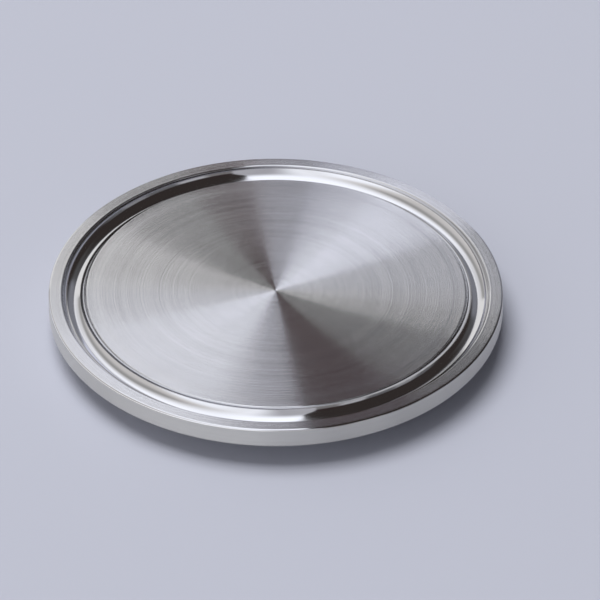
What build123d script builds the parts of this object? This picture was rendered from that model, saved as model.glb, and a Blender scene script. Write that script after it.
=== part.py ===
from build123d import *
from math import radians, tan
import os

# Sanitary clamp end cap for a 2 in (DN 50) line: one disc turned from stainless steel bar.
# It lies on the flat back of its boss, at Z = 0, with the sealing face up.
# Lengths are millimetres and the angle is in degrees.

# Flange
flange_diameter = 64.0
cap_thickness = 6.35
rim_thickness = 2.85
rim_top_chamfer = 0.25
rim_bottom_chamfer = 0.2

# Back: the cone that the clamp closes on, and the boss that stands inside it
taper_angle = 20.0
clamp_seat_width = 6.0
boss_edge_chamfer = 0.3

# Sealing face: the land round the edge, the gasket groove and the faced disc
land_width = 1.9
groove_width = 3.4
groove_depth = 1.55
outer_lip_chamfer = 0.2
inner_lip_chamfer = 0.08
face_setback = 0.1
centre_mark_diameter = 0.5
centre_mark_depth = 0.08

# Places worked out from the sizes above
flange_radius = flange_diameter / 2
rim_underside = cap_thickness - rim_thickness
boss_radius = flange_radius - clamp_seat_width
boss_height = rim_underside - clamp_seat_width * tan(radians(taper_angle))
groove_radius = flange_radius - land_width - groove_width / 2
groove_arc_radius = ((groove_width / 2) ** 2 + groove_depth**2) / (2 * groove_depth)
groove_arc_height = cap_thickness - groove_depth + groove_arc_radius
face_height = cap_thickness - face_setback
centre_mark_radius = centre_mark_diameter / 2

# Half section of the cap: X is the radius and Y the height above the back
with BuildSketch(Plane.XZ) as half_section:
    # Back of the boss, clamp cone, rim, land, then the disc with its centre mark
    with BuildLine():
        Polyline(
            (0, 0),
            (boss_radius, 0),
            (boss_radius, boss_height),
            (flange_radius, rim_underside),
            (flange_radius, cap_thickness),
            (groove_radius, cap_thickness),
            (groove_radius, face_height),
            (centre_mark_radius, face_height),
            (0, face_height - centre_mark_depth),
            close=True,
        )
    make_face()

    # Gasket groove, cut by a round-nosed tool
    with Locations((groove_radius, groove_arc_height)):
        Circle(groove_arc_radius, mode=Mode.SUBTRACT)

    # Lips of the groove, each with its sharp edge broken, the land's more than the disc's
    face_corners = half_section.vertices().group_by(Axis.Y)[-2]
    chamfer(face_corners.sort_by(Axis.X)[-1], inner_lip_chamfer)
    land_corners = half_section.vertices().group_by(Axis.Y)[-1]
    chamfer(land_corners.sort_by(Axis.X)[0], outer_lip_chamfer)

    # Rim, above and below
    land_corners = half_section.vertices().group_by(Axis.Y)[-1]
    chamfer(land_corners.sort_by(Axis.X)[-1], rim_top_chamfer)
    rim_corners = half_section.vertices().group_by(Axis.X)[-1]
    chamfer(rim_corners.sort_by(Axis.Y)[0], rim_bottom_chamfer)

    # Edge of the boss's back
    back_corners = half_section.vertices().group_by(Axis.Y)[0]
    chamfer(back_corners.sort_by(Axis.X)[-1], boss_edge_chamfer)

with BuildPart() as end_cap:
    add(half_section.sketch)
    revolve(axis=Axis.Z)

end_cap.part.label = "end_cap"

os.makedirs("parts", exist_ok=True)
export_step(end_cap.part, "parts/end_cap.step")
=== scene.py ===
import math

import bpy
from mathutils import Matrix, Vector


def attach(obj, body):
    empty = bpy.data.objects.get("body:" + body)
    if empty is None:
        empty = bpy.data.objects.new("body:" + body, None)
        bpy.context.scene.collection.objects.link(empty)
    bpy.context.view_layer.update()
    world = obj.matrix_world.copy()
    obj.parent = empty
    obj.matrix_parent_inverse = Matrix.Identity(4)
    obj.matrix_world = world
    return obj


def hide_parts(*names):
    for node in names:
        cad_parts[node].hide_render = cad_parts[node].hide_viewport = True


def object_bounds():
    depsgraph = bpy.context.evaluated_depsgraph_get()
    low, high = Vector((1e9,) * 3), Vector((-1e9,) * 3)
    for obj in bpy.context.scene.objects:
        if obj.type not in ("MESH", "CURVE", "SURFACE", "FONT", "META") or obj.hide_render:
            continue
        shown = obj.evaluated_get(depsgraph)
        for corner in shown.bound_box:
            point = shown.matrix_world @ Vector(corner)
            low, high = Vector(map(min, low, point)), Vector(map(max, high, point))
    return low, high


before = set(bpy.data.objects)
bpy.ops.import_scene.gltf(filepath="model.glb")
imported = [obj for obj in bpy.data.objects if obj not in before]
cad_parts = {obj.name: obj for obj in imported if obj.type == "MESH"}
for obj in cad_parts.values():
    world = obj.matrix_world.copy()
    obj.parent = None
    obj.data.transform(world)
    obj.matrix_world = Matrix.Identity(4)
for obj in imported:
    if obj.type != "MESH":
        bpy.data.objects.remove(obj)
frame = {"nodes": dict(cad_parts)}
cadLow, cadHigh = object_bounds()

mm = 0.001
print("frame loaded:", ", ".join(frame["nodes"]))


def clearTree(owner):
    owner.use_nodes = True
    tree = owner.node_tree
    tree.nodes.clear()
    return tree


def add(tree, kind, links=None, **settings):
    # a node, its plain settings, and what feeds or fills each of its inputs
    node = tree.nodes.new(kind)
    for name, value in settings.items():
        setattr(node, name, value)
    for socket, value in (links or {}).items():
        target = node.inputs[socket]
        if isinstance(value, bpy.types.NodeSocket):
            tree.links.new(value, target)
        else:
            target.default_value = value
    return node


def maths(tree, operation, *values):
    node = tree.nodes.new("ShaderNodeMath")
    node.operation = operation
    for socket, value in zip(node.inputs, values):
        if isinstance(value, bpy.types.NodeSocket):
            tree.links.new(value, socket)
        else:
            socket.default_value = value
    return node.outputs[0]


def ramp(tree, value, low, high, toLow=0.0, toHigh=1.0, smooth=True):
    node = add(
        tree,
        "ShaderNodeMapRange",
        {"Value": value, "From Min": low, "From Max": high, "To Min": toLow, "To Max": toHigh},
        interpolation_type="SMOOTHSTEP" if smooth else "LINEAR",
    )
    return node.outputs[0]


def vectorMaths(tree, operation, **inputs):
    node = add(tree, "ShaderNodeVectorMath", operation=operation)
    sockets = {"a": 0, "b": 1, "scale": "Scale"}
    for name, value in inputs.items():
        tree.links.new(value, node.inputs[sockets[name]])
    return node.outputs["Vector"]


def flatLength(tree, first, second):
    # the length of a flat vector with these two parts
    squares = [maths(tree, "MULTIPLY", part, part) for part in (first, second)]
    return maths(tree, "SQRT", maths(tree, "ADD", *squares))


def blendColour(tree, factor, first, second):
    # first where the factor is 0, second where it is 1; either may be a colour or a socket
    node = add(tree, "ShaderNodeMix", {"Factor": factor}, data_type="RGBA")
    for name, value in (("A", first), ("B", second)):
        socket = [i for i in node.inputs if i.name == name and i.type == "RGBA"][0]
        if isinstance(value, bpy.types.NodeSocket):
            tree.links.new(value, socket)
        else:
            socket.default_value = (*value, 1)
    return [o for o in node.outputs if o.type == "RGBA"][0]


def turnedSteel(name, look):
    # stainless steel left by a lathe: the tool marks are rings round the axis
    material = bpy.data.materials.new(name)
    tree = clearTree(material)
    place = add(tree, "ShaderNodeTexCoord").outputs["Object"]
    axes = add(tree, "ShaderNodeSeparateXYZ", {"Vector": place}).outputs
    radius = flatLength(tree, axes["X"], axes["Y"])
    across = maths(tree, "ADD", radius, axes["Z"])  # grows across the marks on faces, cones and walls

    def rings(pitch, detail):
        noise = add(tree, "ShaderNodeTexNoise", noise_dimensions="1D", links={
            "W": across, "Scale": 1 / pitch, "Detail": detail, "Roughness": look["ringBreakup"]})
        return noise.outputs["Fac"]

    def swing(pattern, amount):
        # a pattern that lies about one half becomes one that lies about nothing, this much of it
        return maths(tree, "MULTIPLY", maths(tree, "SUBTRACT", pattern, 0.5), amount)

    fine = rings(look["finePitch"], look["fineDetail"])
    marks = rings(look["markPitch"], look["markDetail"])
    bands = rings(look["bandPitch"], look["bandDetail"])
    # slight uneven patches left by handling and washing
    patches = add(tree, "ShaderNodeTexNoise", {
        "Vector": place,
        "Scale": 1 / look["patchSize"],
        "Detail": look["patchDetail"],
        "Roughness": look["patchBreakup"],
    }).outputs["Fac"]
    tone = maths(tree, "ADD", maths(tree, "MULTIPLY", bands, look["bandShare"]),
                 maths(tree, "MULTIPLY", patches, 1 - look["bandShare"]))
    shade = ramp(tree, tone, *look["toneRange"], smooth=False)
    colour = blendColour(tree, shade, look["darker"], look["lighter"])
    rough = maths(tree, "ADD", look["roughness"], swing(tone, look["roughnessSpread"]))
    # each mark leans the surface a little along the section, so the steel gleams in lines from the middle
    tangent = add(tree, "ShaderNodeTangent", direction_type="RADIAL", axis="Z").outputs["Tangent"]
    normal = add(tree, "ShaderNodeNewGeometry").outputs["Normal"]
    uphill = vectorMaths(tree, "CROSS_PRODUCT", a=tangent, b=normal)
    lean = maths(tree, "ADD", swing(fine, look["fineLean"]), swing(marks, look["markLean"]))
    leaned = vectorMaths(tree, "SCALE", a=uphill, scale=lean)
    leaned = vectorMaths(tree, "NORMALIZE", a=vectorMaths(tree, "ADD", a=normal, b=leaned))
    steel = add(tree, "ShaderNodeBsdfPrincipled", {
        "Base Color": colour,
        "Roughness": rough,
        "Metallic": 1.0,
        "Anisotropic": look["anisotropic"],
        "Anisotropic Rotation": look["anisotropicTurn"],
        "Normal": leaned,
        "Tangent": tangent,
    })
    add(tree, "ShaderNodeOutputMaterial", {"Surface": steel.outputs[0]})
    return material


discLook = {
    "darker": (0.640, 0.640, 0.650),
    "lighter": (0.700, 0.700, 0.710),
    "toneRange": (0.35, 0.65),
    "roughness": 0.11,
    "roughnessSpread": 0.02,
    "anisotropic": 1.0,
    "anisotropicTurn": 0.25,
    "ringBreakup": 0.6,
    "finePitch": 0.03 * mm,    # marks too fine to be seen one by one, which spread the gleam
    "fineDetail": 1.0,
    "fineLean": 0.55,
    "markPitch": 0.14 * mm,    # marks that just show
    "markDetail": 3.0,
    "markLean": 0.07,
    "bandPitch": 1.6 * mm,
    "bandDetail": 2.0,
    "bandShare": 0.3,
    "patchSize": 14 * mm,
    "patchDetail": 3.0,
    "patchBreakup": 0.55,
}
grooveLook = dict(discLook, roughness=0.09, roughnessSpread=0.01, anisotropic=0.6, fineLean=0.04,
                  markLean=0.02)
landLook = dict(discLook, fineLean=0.60)
edgeLook = dict(grooveLook)
rimLook = dict(discLook, darker=(0.64, 0.63, 0.59), lighter=(0.70, 0.69, 0.65), roughness=0.30,
               anisotropic=0.8, fineLean=2.4, markPitch=0.18 * mm, markLean=0.20)

discSteel = turnedSteel("facedSteel", discLook)
grooveSteel = turnedSteel("polishedGrooveSteel", grooveLook)
landSteel = turnedSteel("landSteel", landLook)
edgeSteel = turnedSteel("brokenEdgeSteel", edgeLook)
rimSteel = turnedSteel("turnedRimSteel", rimLook)
print("finishes made")


capSizes = {
    "stepsRound": 512,
    "rimThickness": 2.85 * mm,
    "rimTopFillet": 0.28 * mm,
    "rimBottomChamfer": 0.2 * mm,
    "taperAngle": math.radians(20),
    "clampSeatWidth": 6.0 * mm,
    "bossFootFillet": 0.4 * mm,
    "bossEdgeChamfer": 0.3 * mm,
    "landWidth": 1.9 * mm,
    "grooveWidth": 3.4 * mm,
    "grooveDepth": 1.55 * mm,
    "outerLipFillet": 0.18 * mm,
    "innerLipFillet": 0.11 * mm,
    "faceSetback": 0.1 * mm,
    "markRadius": 0.25 * mm,
    "markDepth": 0.08 * mm,
    "grooveSteps": 44,
    "outerLipSteps": 8,
    "innerLipSteps": 6,
    "rimTopSteps": 8,
    "bossFootSteps": 8,
    "edgeHold": 0.015 * mm,    # points this close to each corner keep the flats flat in the shading
    "heldFrom": 0.12 * mm,     # stretches longer than this get such points
    "weldDistance": 0.0005 * mm,
    "flatAbove": 0.99,         # the least height of a unit normal on the land
    "levelAbove": 0.4,         # and on the broken edges
    "outerLipShare": 0.9,      # how far across the outer lip the groove's finish goes
    "sharpAngle": math.radians(24),
}


def arc(centre, radius, start, end, steps):
    # points round a centre, angles in radians, both ends included
    return [(centre[0] + radius * math.cos(start + (end - start) * i / steps),
             centre[1] + radius * math.sin(start + (end - start) * i / steps)) for i in range(steps + 1)]


def sidesOf(before, corner, after):
    corner = Vector(corner)
    return corner, (Vector(before) - corner).normalized(), (Vector(after) - corner).normalized()


def roundCorner(before, corner, after, radius, steps):
    # replaces a corner with an arc that touches both of its sides
    corner, a, b = sidesOf(before, corner, after)
    half = a.angle(b) / 2
    reach = radius / math.tan(half)
    centre = corner + (a + b).normalized() * radius / math.sin(half)
    first, last = corner + a * reach, corner + b * reach
    start = math.atan2(*(first - centre).yx)
    turn = (math.atan2(*(last - centre).yx) - start + math.pi) % (2 * math.pi) - math.pi
    return arc(centre, radius, start, start + turn, steps)


def cutCorner(before, corner, after, size):
    # replaces a corner with a flat, the same size along both of its sides
    corner, a, b = sidesOf(before, corner, after)
    return [tuple(corner + a * size), tuple(corner + b * size)]


def halfSection(s, outer, top):
    # the cap's outline on one side of its axis, from the middle of the face round to the middle of the back
    face = top - s["faceSetback"]
    under = top - s["rimThickness"]
    boss = outer - s["clampSeatWidth"]
    rise = under - s["clampSeatWidth"] * math.tan(s["taperAngle"])

    # the groove's arc, from the disc's lip down and up to where the land's rounded lip touches it
    middle = outer - s["landWidth"] - s["grooveWidth"] / 2
    bend = ((s["grooveWidth"] / 2) ** 2 + s["grooveDepth"] ** 2) / (2 * s["grooveDepth"])
    centreHeight = top - s["grooveDepth"] + bend
    inner = middle - math.sqrt(bend ** 2 - (centreHeight - face) ** 2)
    lip = s["outerLipFillet"]
    lipCentre = (middle + math.sqrt((bend + lip) ** 2 - (top - lip - centreHeight) ** 2), top - lip)
    lipTouch = math.atan2(lipCentre[1] - centreHeight, lipCentre[0] - middle)
    innerTouch = math.atan2(face - centreHeight, inner - middle) + s["innerLipFillet"] / bend
    innerTouch = innerTouch % (2 * math.pi) - 2 * math.pi
    groove = arc((middle, centreHeight), bend, innerTouch, lipTouch, s["grooveSteps"])

    outline = [(0, face - s["markDepth"]), (s["markRadius"], face)]
    outline += roundCorner((0, face), (inner, face), groove[0], s["innerLipFillet"], s["innerLipSteps"])
    outline += groove[1:]
    outline += arc(lipCentre, lip, lipTouch + math.pi, math.pi / 2, s["outerLipSteps"])[1:]
    outline += roundCorner((boss, top), (outer, top), (outer, under), s["rimTopFillet"], s["rimTopSteps"])
    outline += cutCorner((outer, top), (outer, under), (boss, rise), s["rimBottomChamfer"])
    outline += roundCorner((outer, under), (boss, rise), (boss, 0), s["bossFootFillet"], s["bossFootSteps"])
    outline += cutCorner((boss, rise), (boss, 0), (0, 0), s["bossEdgeChamfer"])
    return outline + [(0, 0)]


def holdEdges(outline, hold, longest):
    # adds a point close to both ends of each stretch longer than this
    held = [outline[0]]
    for a, b in zip(outline, outline[1:]):
        a, b = Vector(a), Vector(b)
        if (b - a).length > longest:
            along = (b - a).normalized() * hold
            held += [tuple(a + along), tuple(b - along)]
        held.append(tuple(b))
    return held


def turningTree():
    # turns a line of points in the XZ plane round Z, and gives each surface its finish
    tree = bpy.data.node_groups.new("turnOnLathe", "GeometryNodeTree")
    sockets = (
        ("Section", "NodeSocketGeometry"),
        ("Steps Round", "NodeSocketInt"),
        ("Weld Distance", "NodeSocketFloat"),
        ("Disc Radius", "NodeSocketFloat"),
        ("Land Inner Radius", "NodeSocketFloat"),
        ("Rim Underside", "NodeSocketFloat"),
        ("Flat Above", "NodeSocketFloat"),
        ("Level Above", "NodeSocketFloat"),
        ("Disc Finish", "NodeSocketMaterial"),
        ("Groove Finish", "NodeSocketMaterial"),
        ("Land Finish", "NodeSocketMaterial"),
        ("Edge Finish", "NodeSocketMaterial"),
        ("Rim Finish", "NodeSocketMaterial"),
    )
    for name, kind in sockets:
        tree.interface.new_socket(name, in_out="INPUT", socket_type=kind)
    tree.interface.new_socket("Cap", in_out="OUTPUT", socket_type="NodeSocketGeometry")
    given = add(tree, "NodeGroupInput").outputs

    # a grid with one column for each step round, and one row for each point of the section
    count = add(tree, "GeometryNodeAttributeDomainSize", {"Geometry": given["Section"]}, component="MESH")
    rows = count.outputs["Point Count"]
    columns = maths(tree, "ADD", given["Steps Round"], 1)
    grid = add(tree, "GeometryNodeMeshGrid", {"Vertices X": columns, "Vertices Y": rows})
    index = add(tree, "GeometryNodeInputIndex").outputs[0]
    row = maths(tree, "MODULO", index, rows)
    column = maths(tree, "FLOOR", maths(tree, "DIVIDE", index, rows))
    angle = maths(tree, "DIVIDE", maths(tree, "MULTIPLY", column, 2 * math.pi), given["Steps Round"])

    # each row takes its radius and height from its point of the section
    here = add(tree, "GeometryNodeInputPosition").outputs[0]
    sample = add(tree, "GeometryNodeSampleIndex", data_type="FLOAT_VECTOR", domain="POINT")
    tree.links.new(given["Section"], sample.inputs["Geometry"])
    for name, source in (("Value", here), ("Index", row)):
        tree.links.new(source, [i for i in sample.inputs if i.name == name and i.enabled][0])
    point = add(tree, "ShaderNodeSeparateXYZ",
                {"Vector": [o for o in sample.outputs if o.enabled][0]}).outputs
    turned = add(tree, "ShaderNodeCombineXYZ", {
        "X": maths(tree, "MULTIPLY", point["X"], maths(tree, "COSINE", angle)),
        "Y": maths(tree, "MULTIPLY", point["X"], maths(tree, "SINE", angle)),
        "Z": point["Z"],
    })
    placed = add(tree, "GeometryNodeSetPosition", {"Geometry": grid.outputs["Mesh"],
                                                   "Position": turned.outputs[0]})
    welded = add(tree, "GeometryNodeMergeByDistance", {"Geometry": placed.outputs[0],
                                                       "Distance": given["Weld Distance"]})
    outward = add(tree, "GeometryNodeFlipFaces", {"Mesh": welded.outputs[0]})
    smooth = add(tree, "GeometryNodeSetShadeSmooth", {"Geometry": outward.outputs[0], "Shade Smooth": True})

    # which surface a face belongs to, by its radius, its height and how far it leans
    axes = add(tree, "ShaderNodeSeparateXYZ", {"Vector": here}).outputs
    normal = add(tree, "GeometryNodeInputNormal").outputs[0]
    upright = maths(tree, "ABSOLUTE", add(tree, "ShaderNodeSeparateXYZ", {"Vector": normal}).outputs["Z"])
    flat = maths(tree, "GREATER_THAN", upright, given["Flat Above"])
    level = maths(tree, "GREATER_THAN", upright, given["Level Above"])
    radius = flatLength(tree, axes["X"], axes["Y"])
    above = maths(tree, "GREATER_THAN", axes["Z"], given["Rim Underside"])
    inGroove = maths(tree, "LESS_THAN", radius, given["Land Inner Radius"])
    onDisc = maths(tree, "LESS_THAN", radius, given["Disc Radius"])
    finishes = (
        (None, "Rim Finish"),
        (maths(tree, "MULTIPLY", above, level), "Edge Finish"),
        (maths(tree, "MULTIPLY", above, flat), "Land Finish"),
        (maths(tree, "MULTIPLY", above, inGroove), "Groove Finish"),
        (onDisc, "Disc Finish"),
    )
    mesh = smooth.outputs[0]
    for chosen, finish in finishes:
        finished = add(tree, "GeometryNodeSetMaterial", {"Geometry": mesh, "Material": given[finish]})
        if chosen:
            tree.links.new(chosen, finished.inputs["Selection"])
        mesh = finished.outputs[0]
    real = add(tree, "GeometryNodeRealizeInstances", {"Geometry": mesh})
    add(tree, "NodeGroupOutput", {"Cap": real.outputs[0]})
    return tree


def turnCap(s, outer, top):
    outline = holdEdges(halfSection(s, outer, top), s["edgeHold"], s["heldFrom"])
    line = bpy.data.meshes.new("capSection")
    line.from_pydata([(x, 0, z) for x, z in outline], [(i, i + 1) for i in range(len(outline) - 1)], [])
    blank = bpy.data.objects.new("capSection", line)
    bpy.context.scene.collection.objects.link(blank)
    lathe = blank.modifiers.new("turnOnLathe", "NODES")
    lathe.node_group = turningTree()
    inputs = {
        "Steps Round": s["stepsRound"],
        "Weld Distance": s["weldDistance"],
        "Disc Radius": outer - s["landWidth"] - s["grooveWidth"],
        "Land Inner Radius": outer - s["landWidth"] + s["outerLipFillet"] * s["outerLipShare"],
        "Rim Underside": top - s["rimThickness"] + s["rimBottomChamfer"],
        "Flat Above": s["flatAbove"],
        "Level Above": s["levelAbove"],
        "Disc Finish": discSteel,
        "Groove Finish": grooveSteel,
        "Land Finish": landSteel,
        "Edge Finish": edgeSteel,
        "Rim Finish": rimSteel,
    }
    for item in lathe.node_group.interface.items_tree:
        if item.in_out == "INPUT" and item.name in inputs:
            lathe[item.identifier] = inputs[item.name]
    graph = bpy.context.evaluated_depsgraph_get()
    mesh = bpy.data.meshes.new_from_object(blank.evaluated_get(graph), depsgraph=graph)
    mesh.name = "turnedCap"
    while mesh.materials and mesh.materials[0] is None:
        mesh.materials.pop(index=0)
    mesh.set_sharp_from_angle(angle=s["sharpAngle"])
    blank.modifiers.remove(lathe)
    bpy.data.objects.remove(blank)
    return mesh


capMesh = turnCap(capSizes, cadHigh.x, cadHigh.z)
cap = bpy.data.objects.new("turnedCap", capMesh)
bpy.context.scene.collection.objects.link(cap)
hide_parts("end_cap")
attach(cap, "root")
print("turned cap:", len(capMesh.polygons), "faces,", [m.name for m in capMesh.materials])


floorLook = {"size": 6.0, "colour": (0.515, 0.53, 0.61), "roughness": 0.6}


def makeFloor(s):
    mesh = bpy.data.meshes.new("floor")
    h = s["size"] / 2
    mesh.from_pydata([(-h, -h, 0), (h, -h, 0), (h, h, 0), (-h, h, 0)], [], [(0, 1, 2, 3)])
    material = bpy.data.materials.new("paleBoard")
    tree = clearTree(material)
    board = add(tree, "ShaderNodeBsdfPrincipled", {
        "Base Color": (*s["colour"], 1),
        "Roughness": s["roughness"],
    })
    add(tree, "ShaderNodeOutputMaterial", {"Surface": board.outputs[0]})
    mesh.materials.append(material)
    floor = bpy.data.objects.new("floor", mesh)
    bpy.context.scene.collection.objects.link(floor)


makeFloor(floorLook)


# the light tent round the cap, as seen from the cap. Across goes to the right and along to the back, in
# degrees from straight overhead; tilts, turns and bearings are in degrees too. The open side's edge, the
# panels' corner and panelsEnd are parts of a direction one long. Light levels are linear. Two numbers
# are where a part fades in, and four are where it fades in and out again.
tentLook = {
    "leftWall": (0.79, 0.765, 0.755),
    "streak": (0.42, 0.415, 0.41),      # a darker seam that runs along the left wall
    "streakAt": -39.0,
    "streakWidth": 14.7,
    "streakAlong": (-27, -3, 61, 81),
    "leftSill": (1.5, 1.5, 1.55),
    "leftSillTilt": (78, 84),
    "leftSillAcross": (-50, -65),
    "softbox": (1.45, 1.49, 1.62),
    "softboxLeft": (-38.0, -2.3),
    "softboxFront": (2.0, -38.0),
    "softboxBack": (40.0, 58.0),
    "softboxEnd": (0.95, 0.95, 0.98),
    "frontLeft": (1.32, 1.35, 1.45),
    "frontRight": (0.52, 0.52, 0.56),
    "frontSplit": (-15, 5),
    "frontStart": (-20, -50),
    "fold": (0.84, 0.84, 0.87),         # beside the seam, at the back
    "foldAcross": (-33, -17, -14, -2),
    "foldAlong": (42, 52, 49, 57),
    "frame": (0.38, 0.38, 0.43),        # the softbox's frame, beside the open side
    "frameTurn": (-122, -98, -60, -50),
    "frameAlong": (34, 44),
    "dark": (0.040, 0.033, 0.031),      # the room past the tent's open right side
    "edge": 0.115,
    "edgeLean": 0.150,
    "edgeOpening": 0.12,
    "edgeOpens": (-0.35, -0.9),
    "edgeSoftness": 0.006,
    # cloth panels that meet in one corner behind: the turn round it where each starts, and its colour
    "panelCorner": (0.0, 0.80),
    "panels": (
        (-180, (0.040, 0.027, 0.027)),
        (-51, (0.080, 0.080, 0.085)),
        (-27, (0.100, 0.100, 0.105)),
        (-8, (0.250, 0.255, 0.290)),
        (25, (0.80, 0.82, 0.96)),
        (55, (0.52, 0.53, 0.62)),
        (79, (0.26, 0.26, 0.30)),
        (99, (0.125, 0.085, 0.090)),
        (124, (0.42, 0.42, 0.42)),
        (153, (0.98, 0.97, 0.97)),
    ),
    "panelSoftness": 1.5,
    "panelTilt": (44, 54),
    "panelsEnd": (0.35, 0.65),
    "backPanels": (97, 100),
    # curtains low down on the open side: the bearing where each starts, and its colour
    "curtains": (
        (-180, (0.22, 0.21, 0.21)),
        (-54, (0.50, 0.50, 0.53)),
        (-39, (0.15, 0.15, 0.16)),
        (-20, (0.28, 0.28, 0.30)),
        (-6, (0.14, 0.14, 0.15)),
    ),
    "curtainSoftness": 2.5,
    "curtainTilt": (61, 67),
    "curtainBearing": (-120, -100, 0, 14),
    "floorShare": 0.6,                  # how much of the tent's light the floor gets
    "leastLevel": 0.0001,               # keeps the division safe straight overhead
}


def makeTent(s):
    world = bpy.data.worlds.new("lightTent")
    bpy.context.scene.world = world
    tree = clearTree(world)
    way = add(tree, "ShaderNodeTexCoord").outputs["Generated"]
    axes = add(tree, "ShaderNodeSeparateXYZ", {"Vector": way}).outputs
    x, y = axes["X"], axes["Y"]

    def degrees(operation, *values):
        return maths(tree, "MULTIPLY", maths(tree, operation, *values), math.degrees(1))

    def within(value, *ends):
        # rises over the first pair of ends, and falls over the second pair where there is one
        mask = ramp(tree, value, ends[0], ends[1])
        if len(ends) == 4:
            mask = maths(tree, "MULTIPLY", mask, ramp(tree, value, ends[3], ends[2]))
        return mask

    def both(a, b):
        return maths(tree, "MULTIPLY", a, b)

    def less(a):
        return maths(tree, "SUBTRACT", 1.0, a)

    def strips(value, parts, softness):
        # one colour after another, each from its own start
        colour = parts[0][1]
        for start, following in parts[1:]:
            colour = blendColour(tree, within(value, start - softness, start + softness), colour, following)
        return colour

    tilt = degrees("ARCCOSINE", maths(tree, "ABSOLUTE", axes["Z"]))
    level = maths(tree, "MAXIMUM", flatLength(tree, x, y), s["leastLevel"])
    spread = maths(tree, "DIVIDE", tilt, level)
    across = maths(tree, "MULTIPLY", x, spread)
    along = maths(tree, "MULTIPLY", y, spread)
    bearing = degrees("ARCTAN2", y, x)
    cornerX, cornerY = s["panelCorner"]
    turn = degrees("ARCTAN2", maths(tree, "SUBTRACT", y, cornerY), maths(tree, "SUBTRACT", x, cornerX))

    # the left wall with its seam, the softbox overhead, the front, and the small parts between them
    away = maths(tree, "DIVIDE", maths(tree, "SUBTRACT", across, s["streakAt"]), s["streakWidth"])
    streak = maths(tree, "EXPONENT", maths(tree, "MULTIPLY", both(away, away), -1.0))
    left = blendColour(tree, both(streak, within(along, *s["streakAlong"])), s["leftWall"], s["streak"])
    front = blendColour(tree, within(across, *s["frontSplit"]), s["frontLeft"], s["frontRight"])
    box = blendColour(tree, within(along, *s["softboxFront"]), s["softbox"], front)
    box = blendColour(tree, within(along, *s["softboxBack"]), box, s["softboxEnd"])
    inBox = within(across, *s["softboxLeft"])
    light = blendColour(tree, inBox, left, box)
    light = blendColour(tree, both(within(along, *s["frontStart"]), less(inBox)), light, front)
    fold = both(within(across, *s["foldAcross"]), within(along, *s["foldAlong"]))
    light = blendColour(tree, fold, light, s["fold"])
    sill = both(within(tilt, *s["leftSillTilt"]), within(across, *s["leftSillAcross"]))
    light = blendColour(tree, sill, light, s["leftSill"])
    framed = both(within(turn, *s["frameTurn"]), within(along, *s["frameAlong"]))
    light = blendColour(tree, framed, light, s["frame"])

    # the panels behind, then the dark open side with more of them and its curtains
    panels = strips(turn, s["panels"], s["panelSoftness"])
    light = blendColour(tree, within(turn, *s["backPanels"]), light, panels)
    reached = both(within(tilt, *s["panelTilt"]), less(within(x, *s["panelsEnd"])))
    right = blendColour(tree, reached, s["dark"], panels)
    hung = both(within(tilt, *s["curtainTilt"]), within(bearing, *s["curtainBearing"]))
    right = blendColour(tree, hung, right, strips(bearing, s["curtains"], s["curtainSoftness"]))
    opening = maths(tree, "MULTIPLY", within(y, *s["edgeOpens"]), s["edgeOpening"])
    edge = maths(tree, "ADD", x, maths(tree, "MULTIPLY", y, s["edgeLean"]))
    edge = maths(tree, "SUBTRACT", edge, opening)
    past = within(edge, s["edge"] - s["edgeSoftness"], s["edge"] + s["edgeSoftness"])
    light = blendColour(tree, past, light, right)

    # the lamp does part of the tent's work on the floor, so that the shadow is as deep as it should be
    onFloor = add(tree, "ShaderNodeLightPath").outputs["Is Diffuse Ray"]
    strength = less(maths(tree, "MULTIPLY", onFloor, 1 - s["floorShare"]))
    back = add(tree, "ShaderNodeBackground", {"Color": light, "Strength": strength})
    add(tree, "ShaderNodeOutputWorld", {"Surface": back.outputs[0]})


makeTent(tentLook)


keyLook = {"power": 30.0, "size": 1.4, "distance": 2.0, "from": (-0.22, 0.10, 0.95)}


def makeKey(s):
    # the lamp that gives the floor its shadow; the steel mirrors only the tent
    data = bpy.data.lights.new("key", "AREA")
    data.shape = "DISK"
    data.size = s["size"]
    data.energy = s["power"]
    lamp = bpy.data.objects.new("key", data)
    bpy.context.scene.collection.objects.link(lamp)
    way = Vector(s["from"]).normalized()
    turn = way.to_track_quat("Z", "Y").to_matrix().to_4x4()
    lamp.matrix_world = Matrix.Translation(way * s["distance"]) @ turn
    lamp.visible_glossy = False


makeKey(keyLook)


cameraPlace = {
    "lens": 326.7,             # millimetres, as is the sensor's width
    "sensor": 36.0,
    "distance": 0.7649,
    "elevation": math.radians(36.9),
    "roll": math.radians(0.33),
    "aim": (3.41 * mm, -2.23 * mm, cadHigh.z - 0.125 * mm),
}


def makeCamera(s):
    data = bpy.data.cameras.new("camera")
    data.lens = s["lens"]
    data.sensor_width = s["sensor"]
    camera = bpy.data.objects.new("camera", data)
    bpy.context.scene.collection.objects.link(camera)
    e = s["elevation"]
    back = Vector((0, -math.cos(e), math.sin(e)))
    right, up = Vector((1, 0, 0)), Vector((0, math.sin(e), math.cos(e)))
    c, r = math.cos(s["roll"]), math.sin(s["roll"])
    right, up = right * c + up * r, up * c - right * r
    turn = Matrix((right, up, back)).transposed().to_4x4()
    camera.matrix_world = Matrix.Translation(Vector(s["aim"]) + back * s["distance"]) @ turn
    bpy.context.scene.camera = camera


makeCamera(cameraPlace)
bpy.context.scene.view_settings.view_transform = "Standard"
print("stage set")
